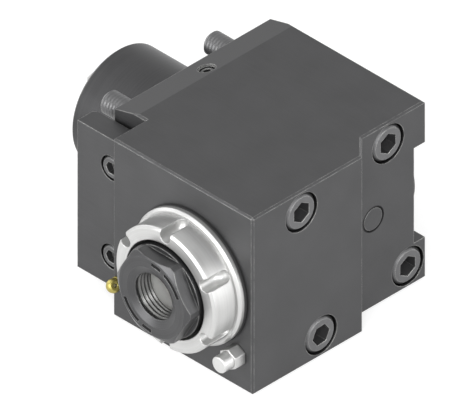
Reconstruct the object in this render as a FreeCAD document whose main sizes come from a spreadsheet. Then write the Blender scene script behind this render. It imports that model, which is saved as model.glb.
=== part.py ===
"""Right-angle live tool holder for a turning centre, in millimetres.

The origin is where the shank's axis meets the mounting face. The shank points towards minus X, the heads
of the mounting screws towards plus X, the milling spindle's nose towards minus Y, and plus Z is up.
Two equal bevel gears meet at the crossing of the input shaft's axis and the spindle's axis.
"""
import FreeCAD, Part
import math
import os
import re
import Sketcher
from FreeCAD import Placement, Rotation, Vector

# Driving dimensions
SIZES = {
    # block and its base
    "block_front": 59.0, "block_rear": 42.0, "block_reach": 91.5, "block_height": 82.0,
    "back_reach": 82.8, "back_start": 8.2, "base_depth": 16.5, "base_front": 41.4,
    "slope_start": 12.5, "slope_angle": 15.0, "channel_width": 44.0, "channel_depth": 5.9,
    "edge_chamfer": 0.8, "spindle_x": 59.9,
    # clearances: a fixed piece in its seat, a turning fit, a ball in its race
    "fit_gap": 0.05, "run_gap": 0.1, "ball_gap": 0.15,
    # mounting screws, M10
    "bolt_row": 31.0, "bolt_far": 32.8, "bolt_near": 22.3, "bolt_radius": 5.0, "bolt_hole": 5.25,
    "bolt_head": 8.0, "bolt_head_height": 10.0, "bolt_counterbore": 8.5, "bolt_tail": 12.0,
    "bolt_key": 8.0, "bolt_key_depth": 6.0, "bolt_waist": 4.5,
    # stop plate, its shim and its M6 screws
    "plate_back": 8.5, "plate_thickness": 9.5, "plate_height": 68.0, "plate_bevel": 2.0,
    "plate_bevel_depth": 1.4,
    "shim_thickness": 1.9, "shim_height": 60.0, "plate_screw_x": 9.6, "plate_screw_row": 20.5,
    "plate_screw_radius": 3.0, "plate_screw_hole": 3.3, "plate_screw_head": 5.0,
    "plate_screw_head_height": 6.0, "plate_counterbore": 5.5, "plate_screw_length": 22.0,
    "plate_screw_key": 5.0, "plate_screw_key_depth": 3.0,
    # shank sleeve and the set screw that locks it
    "shank_radius": 25.0, "shank_length": 40.0, "shank_chamfer": 1.0, "spigot_length": 16.5,
    "spigot_radius": 24.0, "sleeve_lip": 18.5, "mouth_chamfer": 0.6, "lock_x": 7.8, "lock_radius": 3.0,
    "lock_mouth": 3.6, "lock_recess": 1.0, "lock_key": 3.0, "lock_key_depth": 3.0, "lock_tip": 1.5,
    "thread_chamfer": 0.5,
    # input bearings, between the sleeve's lip and a circlip
    "input_bore": 10.0, "input_outside": 21.0, "input_width": 12.0, "input_ball": 3.9,
    "input_spacing": 18.0, "input_start": 8.0, "input_clip_width": 1.5, "input_clip_depth": 1.2,
    "drive_seal_width": 5.0,
    # input shaft with its tang
    "tang_reach": 12.0, "tang_thickness": 8.0, "tang_length": 11.0, "tang_chamfer": 1.5,
    "drive_shoulder": 12.2, "drive_shoulder_width": 1.9, "drive_nut_radius": 16.0,
    "drive_nut_width": 7.0, "drive_step": 24.0, "shaft_end_gap": 2.8,
    # bevel gears
    "gear_radius": 18.0, "gear_face": 8.0, "gear_hub": 13.0, "gear_bore": 8.0, "tooth_tip": 1.78,
    "tooth_root": 2.38, "tooth_half": 0.93, "flank_slope": 0.257, "tooth_sink": 0.4,
    "spindle_hub_length": 2.5, "key_width": 4.0, "key_height": 4.1, "key_depth": 2.5,
    "key_end": 0.8, "drive_key_length": 10.0, "key_top_gap": 0.2,
    "clip_width": 1.0, "clip_depth": 0.6, "clip_outside": 1.7, "clip_opening": 5.0,
    # spindle
    "nose_reach": 11.7, "nose_radius": 16.0, "nose_chamfer": 0.8, "collar_reach": 3.0,
    "collar_radius": 17.5, "taper_mouth": 13.0, "taper_length": 27.0, "taper_angle": 8.0,
    "taper_relief": 0.3, "relief_length": 4.5, "bore_radius": 5.0, "bore_depth": 46.0,
    "bore_cone": 3.0, "lock_nut_radius": 18.0, "lock_nut_width": 6.0, "lock_thread": 13.0, "rear_thread": 7.0,
    "rear_nut_radius": 11.5, "rear_nut_width": 4.0, "nut_slot_width": 4.0, "nut_slot_depth": 1.5,
    # spindle bearings
    "front_bore": 15.0, "front_outside": 23.5, "front_width": 9.0, "front_ball": 2.6,
    "front_spacing": 3.0, "front_inset": 11.0, "rear_bore": 7.5, "rear_outside": 16.5,
    "rear_width": 9.0, "race_wall": 1.2, "cage_half": 0.95, "cage_side": 0.6,
    # cavities of the block
    "spindle_cavity": 22.0, "cavity_end": 8.0, "rear_passage": 13.0, "input_cavity": 21.0,
    # slotted bearing cap
    "cap_reach": 15.4, "cap_radius": 26.7, "cap_chamfer": 0.8, "cap_face_chamfer": 1.05,
    "cap_bore": 20.9, "cap_flange": 28.75, "cap_flange_step": 27.8, "cap_flange_front": 3.95,
    "cap_flange_edge": 3.0, "cap_thread": 25.5, "gasket_thickness": 1.3, "gasket_radius": 28.9,
    "cap_web_front": 2.0, "cap_web_gap": 1.0, "seal_radius": 22.0, "seal_width": 7.0,
    "cap_slot_width": 5.3, "cap_slot_floor": 21.8, "cap_slot_cutter": 4.2, "cap_thread_relief": 0.4,
    # collet nut and its thrust ring
    "nut_reach": 22.7, "nut_length": 19.0, "nut_radius": 19.6, "nut_face": 17.2, "nut_slant": 1.4,
    "nut_flat": 17.5, "nut_hex_end": 16.7, "nut_mouth": 13.1, "nut_lip": 9.9, "nut_lip_depth": 1.4,
    "nut_lip_width": 1.0, "mark_inner": 14.7, "mark_outer": 16.3, "mark_depth": 0.25,
    "thrust_outside": 14.7, "thrust_width": 7.2, "thrust_bore": 9.9, "thrust_groove": 0.9,
    # rear cover
    "cover_radius": 19.0, "cover_proud": 4.9, "cover_thread": 17.0, "cover_spigot": 5.1,
    "cover_recess": 13.0, "cover_recess_depth": 1.4, "cover_chamfer": 0.5, "cover_gasket": 0.5,
    "cover_pin_circle": 12.0, "cover_pin_hole": 1.5, "cover_pin_depth": 2.5,
    # stop pin on the nose side
    "pin_x": 83.7, "pin_drop": 25.4, "pin_flat": 8.0, "pin_hex_height": 5.5, "pin_nose": 3.5,
    "pin_reach": 10.5, "pin_round": 0.5, "pin_stem": 3.0, "pin_stem_length": 9.0, "pin_chamfer": 0.3,
    # ball nozzle, its seat and the coolant channel
    "nozzle_x": 19.5, "nozzle_drop": 24.6, "nozzle_proud": 2.6, "nozzle_ball": 2.9, "nozzle_flat": 2.1,
    "nozzle_hole": 0.8, "seat_radius": 2.5, "seat_depth": 6.0, "seat_collar": 2.8,
    "seat_collar_height": 0.8, "seat_bore": 1.0, "channel_radius": 2.0, "port_y": 33.0,
    "port_drop": 5.0, "port_ring_radius": 4.2, "port_ring_wire": 0.9, "port_groove_wall": 0.1,
    "channel_plug_radius": 3.0, "channel_plug_length": 7.0, "channel_plug_recess": 0.5,
    # plug on the set-back face
    "plug_y": 14.3, "plug_radius": 5.2, "plug_length": 5.0, "plug_hole": 3.5, "plug_chamfer": 0.4,
}

# Places and sizes worked out from the driving dimensions
PLACES = {
    "half_height": "block_height / 2",
    "floor_y": "block_rear - channel_depth",
    "corner_start": "back_start - abs(block_reach - back_reach)",
    "slope_end": "half_height - slope_start * tan(slope_angle)",
    "shim_front": "-(base_front + shim_thickness)",
    "plate_front": "shim_front - plate_thickness",
    "front_start": "-(block_front - front_inset)",
    "front_second": "front_start + front_width + front_spacing",
    "front_end": "front_second + front_width",
    "rear_end": "floor_y - cover_spigot",
    "rear_start": "rear_end - rear_width",
    "spindle_front": "-(block_front + nose_reach)",
    "collar_front": "-(block_front + collar_reach)",
    "taper_end": "spindle_front + taper_length",
    "taper_end_radius": "taper_mouth - taper_length * tan(taper_angle)",
    "relief_end": "taper_end + relief_length",
    "bore_end": "spindle_front + bore_depth",
    "gear_small": "gear_radius - gear_face / sqrt(2)",
    "spindle_step": "-(gear_radius + spindle_hub_length)",
    "clip_start": "fit_gap - gear_small",
    "clip_end": "clip_start + clip_width",
    "spindle_rear": "rear_end + rear_nut_width + 1",
    "input_first": "input_start - shank_length",
    "input_second": "input_first + input_width + input_spacing",
    "input_end": "input_second + input_width",
    "seal_end": "input_first - drive_shoulder_width - run_gap",
    "tang_end": "-(shank_length + tang_reach)",
    "shaft_end": "spindle_x - gear_bore + fit_gap - shaft_end_gap",
    "drive_hub_length": "spindle_x - gear_radius - drive_step",
    "cap_front": "-(block_front + cap_reach)",
    "cap_flange_rear": "-(block_front + gasket_thickness)",
    "seal_front": "front_start - seal_width",
    "cap_web": "-(block_front + cap_web_front)",
    "nut_front": "-(block_front + nut_reach)",
    "nut_rear": "nut_front + nut_length",
    "thrust_front": "nut_front + nut_lip_depth + nut_lip_width + run_gap",
    "thrust_rear": "thrust_front + thrust_width",
    "cover_face": "floor_y + cover_proud",
    "ball_y": "-(block_front + nozzle_proud)",
    "lock_z": "half_height - (slope_start - lock_x) * tan(slope_angle)",
    "lock_depth": "(lock_z - spigot_radius) / cos(slope_angle)",
    "front_pitch": "(front_bore + front_outside) / 2",
    "rear_pitch": "(rear_bore + rear_outside) / 2",
    "rear_ball": "front_ball * rear_pitch / front_pitch",
    "input_pitch": "(input_bore + input_outside) / 2",
}

GEAR_TEETH = 24
CAP_SLOTS = 6
THRUST_GROOVES = 4
BALLS = {"front": 16, "rear": 16, "input": 9}
HEX_SIDES = 6
# Engraved bars on half of the nut's face, as start and end angles
NUT_MARKS = [(24, 64), (72, 90)]

document = FreeCAD.newDocument("live_tool_holder")
sheet = document.addObject("Spreadsheet::Sheet", "sizes")
for row, (word, number) in enumerate(SIZES.items(), 1):
    sheet.set(f"A{row}", word)
    sheet.set(f"B{row}", str(number))
    sheet.setAlias(f"B{row}", word)
document.recompute()

nodes = {}


def full(text):
    """Turn words of SIZES and PLACES into an expression on the sheet's cells."""
    def swap(match):
        word = match.group()
        if word in PLACES:
            return "(" + full(PLACES[word]) + ")"
        return "sizes." + word if word in SIZES else word
    return re.sub(r"[a-z]\w*", swap, str(text))


def number_of(text):
    return float(sheet.evalExpression(full(text)))


def bind(item, name, text):
    item.setExpression(name, full(text))


def place(item, x="0", y="0", z="0"):
    for axis, text in zip("xyz", (x, y, z)):
        bind(item, "Placement.Base." + axis, text)


def new_body(name, x="0", y="0", z="0"):
    body = document.addObject("PartDesign::Body", name)
    place(body, x, y, z)
    return body


def new_sketch(body, name, plane="XY_Plane", offset="0", shift="0"):
    """A sketch on one of the body's own planes, moved along its normal and along its first axis."""
    sketch = body.newObject("Sketcher::SketchObject", name)
    side = next(item for item in body.Origin.OriginFeatures if item.Role == plane)
    sketch.AttachmentSupport = [(side, "")]
    sketch.MapMode = "FlatFace"
    bind(sketch, "AttachmentOffset.Base.z", offset)
    bind(sketch, "AttachmentOffset.Base.x", shift)
    return sketch


def pin_point(sketch, index, end, x, y):
    """Tie a sketch point to its place by two dimensions from the sketch's origin."""
    for kind, text in (("DistanceX", x), ("DistanceY", y)):
        size = number_of(text)
        row = sketch.addConstraint(Sketcher.Constraint(kind, -1, 1, index, end, size))
        bind(sketch, f"Constraints[{row}]", text)


def add_outline(sketch, points, arcs=None):
    """A closed outline. arcs names the sides that are round: side number to (centre x, centre y, turn)."""
    arcs = arcs or {}
    first = sketch.GeometryCount
    count = len(points)
    spots = [Vector(number_of(x), number_of(y), 0) for x, y in points]
    ends = {}
    for side in range(count):
        start, end = spots[side], spots[(side + 1) % count]
        if side in arcs:
            x, y, turn = arcs[side]
            middle = Vector(number_of(x), number_of(y), 0)
            low, high = (start, end) if turn > 0 else (end, start)
            angles = [math.atan2(spot.y - middle.y, spot.x - middle.x) for spot in (low, high)]
            circle = Part.Circle(middle, Vector(0, 0, 1), (start - middle).Length)
            sketch.addGeometry(Part.ArcOfCircle(circle, angles[0], angles[1]), False)
            ends[side] = (1, 2) if turn > 0 else (2, 1)
        else:
            sketch.addGeometry(Part.LineSegment(start, end), False)
            ends[side] = (1, 2)
    for side in range(count):
        follower = (side + 1) % count
        joint = (first + side, ends[side][1], first + follower, ends[follower][0])
        sketch.addConstraint(Sketcher.Constraint("Coincident", *joint))
    for side, (x, y) in enumerate(points):
        pin_point(sketch, first + side, ends[side][0], x, y)
    for side, (x, y, turn) in arcs.items():
        chord = spots[(side + 1) % count] - spots[side]
        kind, text = ("DistanceY", y) if abs(chord.x) > abs(chord.y) else ("DistanceX", x)
        rule = Sketcher.Constraint(kind, -1, 1, first + side, 3, number_of(text))
        row = sketch.addConstraint(rule)
        bind(sketch, f"Constraints[{row}]", text)


def add_circle(sketch, x, y, radius):
    middle = Vector(number_of(x), number_of(y), 0)
    index = sketch.addGeometry(Part.Circle(middle, Vector(0, 0, 1), number_of(radius)), False)
    pin_point(sketch, index, 3, x, y)
    row = sketch.addConstraint(Sketcher.Constraint("Radius", index, number_of(radius)))
    bind(sketch, f"Constraints[{row}]", radius)


def hexagon(flat, first_corner=0):
    """Corner points of a hexagon from its size across flats and the angle of its first corner."""
    corner = f"({flat}) / (2 * cos(30))"
    turns = [first_corner + 60 * side for side in range(HEX_SIDES)]
    return [(f"{corner} * cos({turn})", f"{corner} * sin({turn})") for turn in turns]


def extrude(body, kind, sketch, length="", both=False, flip=False):
    """A pad or a pocket. A pocket with no length goes through everything."""
    feature = body.newObject("PartDesign::" + kind, sketch.Name + "_" + kind.lower())
    feature.Profile = sketch
    if both:
        feature.SideType = "Symmetric"
    if length:
        bind(feature, "Length", length)
    else:
        feature.Type = "ThroughAll"
    feature.Reversed = flip
    sketch.Visibility = False
    document.recompute()
    return feature


def spin(body, kind, sketch, axis):
    """A revolution or a groove round one of the sketch's own axes."""
    feature = body.newObject("PartDesign::" + kind, sketch.Name + "_" + kind.lower())
    feature.Profile = sketch
    feature.ReferenceAxis = (sketch, [axis])
    feature.Angle = 360
    document.recompute()
    return feature


def repeat(body, features, axis, count):
    """Copies of some features round one of the body's own axes."""
    pattern = body.newObject("PartDesign::PolarPattern", features[0].Name + "_pattern")
    pattern.Originals = features
    line = next(item for item in body.Origin.OriginFeatures if item.Role == axis)
    pattern.Axis = (line, [""])
    pattern.Angle = 360
    pattern.Occurrences = count
    body.Tip = pattern
    document.recompute()
    return pattern


# The two lines that turned pieces lie on: body place, sketch axis, body axis, and order of the coordinates
LINES = {
    "spindle": {"x": "spindle_x", "sketch": "V_Axis", "body": "Y_Axis", "swap": True},
    "input": {"x": "0", "sketch": "H_Axis", "body": "X_Axis", "swap": False},
}


def on_line(line, points):
    """Points given as (along the axis, radius), in the order that the line's sketch has."""
    return [(radius, along) if LINES[line]["swap"] else (along, radius) for along, radius in points]


def turned(name, line, points, **more):
    """A body turned from an outline of (along the axis, radius) points."""
    body = new_body(name, x=LINES[line]["x"])
    sketch = new_sketch(body, name + "_outline")
    add_outline(sketch, on_line(line, points), **more)
    spin(body, "Revolution", sketch, LINES[line]["sketch"])
    return body


def turned_groove(body, name, line, points):
    sketch = new_sketch(body, name)
    add_outline(sketch, on_line(line, points))
    return spin(body, "Groove", sketch, LINES[line]["sketch"])


def keep(name, item):
    """Name the finished piece as a node."""
    item.Label = name
    nodes[name] = item
    return item


def group(name, members):
    compound = document.addObject("Part::Compound", name)
    compound.Links = members
    document.recompute()
    return keep(name, compound)


def ring(name, line, start, width, inner, outer):
    """A plain ring between two radii."""
    end = f"{start} + {width}"
    return turned(name, line, [(start, inner), (start, outer), (end, outer), (end, inner)])


# Fasteners

# Chamfers of a screw as shares of its radius: round the top of its head, and at its tip
HEAD_CHAMFER = 0.16
TIP_CHAMFER = 0.2


def cap_screw(name, thread, head, head_height, length, flat, depth, first_corner=0, waist=None):
    """A socket head screw along X, with the top of its head at the body's origin.

    waist is the radius of a thinner shank between head and thread, and how far from the origin it ends.
    """
    body = new_body(name)
    sketch = new_sketch(body, name + "_outline")
    under = f"-{head_height}"
    tip = f"-({head_height} + {length})"
    outline = [
        (tip, "0"), (tip, f"(1 - {TIP_CHAMFER}) * {thread}"), (f"{tip} + {TIP_CHAMFER} * {thread}", thread)]
    if waist:
        radius, reach = waist
        outline += [(f"-({reach})", thread), (f"-({reach})", radius), (under, radius)]
    else:
        outline.append((under, thread))
    outline += [
        (under, head), (f"-{HEAD_CHAMFER} * {head}", head), ("0", f"(1 - {HEAD_CHAMFER}) * {head}"), ("0", "0")]
    add_outline(sketch, outline)
    spin(body, "Revolution", sketch, "H_Axis")
    socket = new_sketch(body, name + "_socket", "YZ_Plane")
    add_outline(socket, hexagon(flat, first_corner))
    extrude(body, "Pocket", socket, depth)
    return body


def mounting_screws(name, face, spots):
    """One pair of mounting screws: heads flush with their face, only the thread stands out of the base."""
    length = f"{face} - bolt_head_height + bolt_tail"
    members = []
    for number, (y, z, corner) in enumerate(spots, 1):
        screw = cap_screw(f"{name}_{number}", "bolt_radius", "bolt_head", "bolt_head_height",
                          f"({length})", "bolt_key", "bolt_key_depth", corner, ("bolt_waist", face))
        place(screw, face, y, z)
        members.append(screw)
    return group(name, members)


# Turning outward face from plus X towards minus Y
TO_NOSE = Rotation(Vector(0, 0, 1), -90)
# Mounting screws: place across and up, and the angle of their socket's first corner
FRONT_SPOTS = [("-bolt_far", "bolt_row", 30), ("-bolt_near", "-bolt_row", 5)]
REAR_SPOTS = [("bolt_near", "bolt_row", 30), ("bolt_far", "-bolt_row", 30)]


def stop_plate_screws():
    members = []
    for number, side in enumerate(("-", ""), 1):
        screw = cap_screw(f"plate_screw_{number}", "plate_screw_radius", "plate_screw_head",
                          "plate_screw_head_height", "plate_screw_length", "plate_screw_key",
                          "plate_screw_key_depth")
        screw.Placement = Placement(Vector(), TO_NOSE)
        place(screw, "plate_screw_x", "plate_front", f"{side}plate_screw_row")
        members.append(screw)
    return group("stop_plate_screws", members)


def sleeve_lock_screw():
    """The set screw that lies square to the sloped face and bears on the sleeve's spigot."""
    body = new_body("sleeve_lock_screw")
    length = "lock_depth - lock_recess - lock_tip * tan(slope_angle) - fit_gap"
    sketch = new_sketch(body, "lock_screw_outline")
    add_outline(sketch, [
        (f"-({length})", "0"), (f"-({length})", "lock_tip"),
        (f"lock_radius - lock_tip - ({length})", "lock_radius"), ("-thread_chamfer", "lock_radius"),
        ("0", "lock_radius - thread_chamfer"), ("0", "0")])
    spin(body, "Revolution", sketch, "H_Axis")
    socket = new_sketch(body, "lock_screw_socket", "YZ_Plane")
    add_outline(socket, hexagon("lock_key"))
    extrude(body, "Pocket", socket, "lock_key_depth")
    body.Placement = Placement(Vector(), Rotation(Vector(0, -1, 0), 90 + SIZES["slope_angle"]))
    bind(body, "Placement.Rotation.Angle", "90 + slope_angle")
    place(body, "lock_x + lock_recess * sin(slope_angle)", "0", "lock_z - lock_recess * cos(slope_angle)")
    return keep("sleeve_lock_screw", body)


# Block

# Places closer than this count as one, in millimetres
SAME = 0.01


def edges_on(shape, test):
    """Names of the straight edges whose two ends pass a test."""
    return [f"Edge{number}" for number, edge in enumerate(shape.Edges, 1)
            if len(edge.Vertexes) == 2 and test(*(corner.Point for corner in edge.Vertexes))]


def housing():
    body = new_body("housing")
    plan = new_sketch(body, "block_plan")
    add_outline(plan, [
        ("0", "-base_front"), ("base_depth", "-base_front"), ("base_depth", "-block_front"),
        ("block_reach", "-block_front"), ("block_reach", "corner_start"), ("back_reach", "back_start"),
        ("back_reach", "block_rear"), ("0", "block_rear")])
    extrude(body, "Pad", plan, "block_height", both=True)
    for name, side in (("upper_slope", ""), ("lower_slope", "-")):
        slope = new_sketch(body, name, "XZ_Plane")
        add_outline(slope, [
            ("slope_start", f"{side}half_height"), ("0", f"{side}slope_end"), ("-1", f"{side}slope_end"),
            ("-1", f"{side}(half_height + 1)"), ("slope_start", f"{side}(half_height + 1)")])
        extrude(body, "Pocket", slope, both=True)
    channel = new_sketch(body, "rear_channel", "YZ_Plane")
    add_outline(channel, [
        ("floor_y", "-channel_width / 2"), ("block_rear + 1", "-channel_width / 2"),
        ("block_rear + 1", "channel_width / 2"), ("floor_y", "channel_width / 2")])
    extrude(body, "Pocket", channel, flip=True)
    chamfer_block(body)
    spindle_bores(body)
    input_bores(body)
    screw_bores(body)
    coolant_bores(body)
    return keep("housing", body)


def chamfer_block(body):
    """Narrow chamfers round the top and bottom faces and on the block's two upright front corners."""
    solid = body.Tip
    top, slope = number_of("half_height"), number_of("slope_start")
    near, reach, left = (number_of(word) for word in ("-block_front", "block_reach", "base_depth"))

    def same(first, second):
        return abs(first - second) < SAME

    def on_rim(first, second):
        on_top = same(abs(first.z), top) and same(first.z, second.z)
        return on_top and max(first.x, second.x) > slope + SAME

    def on_corner(first, second):
        upright = same(first.x, second.x) and same(first.y, near) and same(second.y, near)
        return upright and (same(first.x, reach) or same(first.x, left))

    chamfer = body.newObject("PartDesign::Chamfer", "block_chamfer")
    chamfer.Base = (solid, edges_on(solid.Shape, on_rim) + edges_on(solid.Shape, on_corner))
    bind(chamfer, "Size", "edge_chamfer")
    document.recompute()


def spindle_bores(body):
    sketch = new_sketch(body, "spindle_bores", shift="spindle_x")
    points = [
        ("-block_front - 1", "0"), ("-block_front - 1", "cap_thread"),
        ("front_start + cap_thread_relief", "cap_thread"),
        ("front_start + cap_thread_relief", "front_outside + fit_gap"), ("front_end", "front_outside + fit_gap"),
        ("front_end", "spindle_cavity"), ("-cavity_end", "spindle_cavity"),
        ("-cavity_end", "rear_passage"), ("rear_start", "rear_passage"),
        ("rear_start", "rear_outside + fit_gap"), ("rear_end", "rear_outside + fit_gap"),
        ("rear_end", "cover_thread"), ("block_rear + 1", "cover_thread"), ("block_rear + 1", "0")]
    add_outline(sketch, on_line("spindle", points))
    spin(body, "Groove", sketch, "V_Axis")


def input_bores(body):
    cavity_end = "spindle_x - gear_small + fit_gap"
    clip_room = "gear_bore + clip_outside + 1"
    turned_groove(body, "input_bores", "input", [
        ("-1", "0"), ("-1", "shank_radius + fit_gap"), ("0", "shank_radius + fit_gap"),
        ("shank_radius - spigot_radius", "spigot_radius + fit_gap"),
        ("spigot_length + fit_gap", "spigot_radius + fit_gap"),
        ("spigot_length + fit_gap", "input_cavity"), (cavity_end, "input_cavity"), (cavity_end, clip_room),
        ("spindle_x", clip_room), ("spindle_x", "0")])


def screw_bores(body):
    through = new_sketch(body, "bolt_holes", "YZ_Plane")
    for y, z, _ in FRONT_SPOTS + REAR_SPOTS:
        add_circle(through, y, z, "bolt_hole")
    extrude(body, "Pocket", through, flip=True)
    for name, face, spots in (("front_counterbores", "block_reach", FRONT_SPOTS),
                              ("rear_counterbores", "back_reach", REAR_SPOTS)):
        sketch = new_sketch(body, name, "YZ_Plane", f"{face} - bolt_head_height")
        for y, z, _ in spots:
            add_circle(sketch, y, z, "bolt_counterbore")
        extrude(body, "Pocket", sketch, "bolt_head_height + 1", flip=True)
    threads = new_sketch(body, "plate_threads", "XZ_Plane", "base_front")
    for side in ("-", ""):
        add_circle(threads, "plate_screw_x", f"{side}plate_screw_row", "plate_screw_radius + fit_gap")
    depth = "plate_screw_length + plate_screw_head_height - plate_thickness - shim_thickness + 1"
    extrude(body, "Pocket", threads, depth)
    pin = new_sketch(body, "stop_pin_thread", "XZ_Plane", "block_front")
    add_circle(pin, "pin_x", "-pin_drop", "pin_stem + fit_gap")
    extrude(body, "Pocket", pin, "pin_stem_length + 1")
    lock = new_sketch(body, "lock_thread_hole")
    tilt = Placement(Vector(), Rotation(Vector(0, -1, 0), SIZES["slope_angle"]))
    lock.AttachmentOffset = tilt
    bind(lock, "AttachmentOffset.Rotation.Angle", "slope_angle")
    bind(lock, "AttachmentOffset.Base.x", "lock_x")
    bind(lock, "AttachmentOffset.Base.z", "lock_z")
    add_circle(lock, "0", "0", "lock_radius + fit_gap")
    extrude(body, "Pocket", lock, "lock_depth + 1")
    mouth = new_sketch(body, "lock_thread_mouth")
    mouth.AttachmentOffset = tilt
    bind(mouth, "AttachmentOffset.Rotation.Angle", "slope_angle")
    bind(mouth, "AttachmentOffset.Base.x", "lock_x")
    bind(mouth, "AttachmentOffset.Base.z", "lock_z")
    add_circle(mouth, "0", "0", "lock_mouth")
    extrude(body, "Pocket", mouth, "mouth_chamfer")


def coolant_bores(body):
    """The coolant enters at the mounting face, turns twice and leaves at the ball nozzle."""
    port = new_sketch(body, "coolant_port", "YZ_Plane")
    add_circle(port, "-port_y", "-port_drop", "channel_radius")
    extrude(body, "Pocket", port, "nozzle_x", flip=True)
    groove = new_sketch(body, "port_ring_groove", "YZ_Plane")
    for side in ("+", "-"):
        width = f"port_ring_radius {side} (port_ring_wire + port_groove_wall)"
        add_circle(groove, "-port_y", "-port_drop", width)
    extrude(body, "Pocket", groove, "2 * port_ring_wire + port_groove_wall", flip=True)
    riser = new_sketch(body, "coolant_riser", "XY_Plane", "-half_height")
    add_circle(riser, "nozzle_x", "-port_y", "channel_radius")
    extrude(body, "Pocket", riser, "half_height - port_drop", flip=True)
    plug = new_sketch(body, "channel_plug_thread", "XY_Plane", "-half_height")
    add_circle(plug, "nozzle_x", "-port_y", "channel_plug_radius + fit_gap")
    extrude(body, "Pocket", plug, "channel_plug_length + channel_plug_recess", flip=True)
    feed = new_sketch(body, "nozzle_feed", "XZ_Plane", "block_front")
    add_circle(feed, "nozzle_x", "-nozzle_drop", "channel_radius")
    extrude(body, "Pocket", feed, "block_front - port_y")
    seat = new_sketch(body, "nozzle_thread", "XZ_Plane", "block_front")
    add_circle(seat, "nozzle_x", "-nozzle_drop", "seat_radius + fit_gap")
    extrude(body, "Pocket", seat, "seat_depth")
    filler = new_sketch(body, "filler_hole", "YZ_Plane", "spindle_x")
    add_circle(filler, "plug_y", "0", "plug_hole")
    extrude(body, "Pocket", filler, "block_reach", flip=True)
    mouth = new_sketch(body, "filler_seat", "YZ_Plane", "back_reach - plug_length")
    add_circle(mouth, "plug_y", "0", "plug_radius + fit_gap")
    extrude(body, "Pocket", mouth, "block_reach", flip=True)


# Stop plate

def stop_plate():
    body = new_body("stop_plate")
    sketch = new_sketch(body, "plate_plan")
    right = "base_depth - fit_gap"
    add_outline(sketch, [
        ("-plate_back", "plate_front"), (right, "plate_front"), (right, "shim_front"),
        ("plate_bevel - plate_back", "shim_front"), ("-plate_back", "shim_front - plate_bevel_depth")])
    extrude(body, "Pad", sketch, "plate_height", both=True)
    holes = new_sketch(body, "plate_holes", "XZ_Plane", "-plate_front")
    heads = new_sketch(body, "plate_counterbores", "XZ_Plane", "-plate_front")
    for side in ("-", ""):
        add_circle(holes, "plate_screw_x", f"{side}plate_screw_row", "plate_screw_hole")
        add_circle(heads, "plate_screw_x", f"{side}plate_screw_row", "plate_counterbore")
    extrude(body, "Pocket", holes)
    extrude(body, "Pocket", heads, "plate_screw_head_height")
    return keep("stop_plate", body)


def stop_plate_shim():
    body = new_body("stop_plate_shim")
    sketch = new_sketch(body, "shim_face", "XZ_Plane", "base_front")
    right = "base_depth - fit_gap"
    low, high = "-shim_height / 2", "shim_height / 2"
    add_outline(sketch, [("0", low), (right, low), (right, high), ("0", high)])
    for side in ("-", ""):
        add_circle(sketch, "plate_screw_x", f"{side}plate_screw_row", "plate_screw_hole")
    extrude(body, "Pad", sketch, "shim_thickness")
    return keep("stop_plate_shim", body)


# Shank

def shank_sleeve():
    end = "-shank_length"
    bore = "input_outside + fit_gap"
    body = turned("shank_sleeve", "input", [
        (end, f"{bore} + mouth_chamfer"), (end, "shank_radius - shank_chamfer"),
        ("shank_chamfer - shank_length", "shank_radius"), ("0", "shank_radius"), ("0", "spigot_radius"),
        ("spigot_length", "spigot_radius"), ("spigot_length", "sleeve_lip"), ("input_end", "sleeve_lip"),
        ("input_end", bore), ("mouth_chamfer - shank_length", bore)])
    clip_end = "input_first + fit_gap"
    clip_start = "input_first - input_clip_width - fit_gap"
    turned_groove(body, "input_clip_groove", "input", [
        (clip_start, "input_outside - 1"), (clip_start, "input_outside + input_clip_depth"),
        (clip_end, "input_outside + input_clip_depth"), (clip_end, "input_outside - 1")])
    return keep("shank_sleeve", body)


def drive_shaft():
    end = "shaft_end"
    shoulder = "input_first - drive_shoulder_width"
    body = turned("drive_shaft", "input", [
        ("tang_end", "0"), ("tang_end", "input_bore - tang_chamfer"),
        ("tang_end + tang_chamfer", "input_bore"), (shoulder, "input_bore"),
        (shoulder, "drive_shoulder"), ("input_first", "drive_shoulder"), ("input_first", "input_bore"),
        ("drive_step", "input_bore"), ("drive_step", "gear_bore"),
        (f"{end} - thread_chamfer", "gear_bore"), (end, "gear_bore - thread_chamfer"), (end, "0")])
    sides = new_sketch(body, "tang_flats")
    for side in ("", "-"):
        inner, outer = f"{side}tang_thickness / 2", f"{side}(input_bore + 1)"
        add_outline(sides, [("tang_end - 1", inner), ("tang_end + tang_length", inner),
                            ("tang_end + tang_length", outer), ("tang_end - 1", outer)])
    extrude(body, "Pocket", sides, both=True)
    clip = [f"spindle_x + {text}" for text in ("clip_start - fit_gap", "clip_end + fit_gap")]
    clip_groove(body, "input", *clip)
    key = new_sketch(body, "drive_key_seat", "XY_Plane", "gear_bore - key_depth")
    start, length = "drive_key_start", "drive_key_length"
    add_outline(key, key_outline(start, length, swap=False))
    extrude(body, "Pocket", key, "key_depth + 1", flip=True)
    return keep("drive_shaft", body)


def key_outline(start, length, swap):
    end = f"{start} + {length}"
    low, high = "-key_width / 2", "key_width / 2"
    points = [(start, low), (end, low), (end, high), (start, high)]
    return [(second, first) for first, second in points] if swap else points


def clip_groove(body, line, start, end):
    turned_groove(body, body.Name + "_clip_groove", line, [
        (start, "gear_bore - clip_depth"), (start, "gear_bore + 1"), (end, "gear_bore + 1"),
        (end, "gear_bore - clip_depth")])


def circlip(name, line, start):
    """A retaining ring with an opening at the bottom."""
    body = ring(name, line, start, "clip_width", "gear_bore - clip_depth + fit_gap",
                "gear_bore + clip_outside")
    opening = new_sketch(body, name + "_opening")
    low, high = "-clip_opening / 2", "clip_opening / 2"
    add_outline(opening, on_line(line, [(f"{start} - 1", low), (f"{start} + clip_width + 1", low),
                                        (f"{start} + clip_width + 1", high), (f"{start} - 1", high)]))
    extrude(body, "Pocket", opening)
    return keep(name, body)


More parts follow.
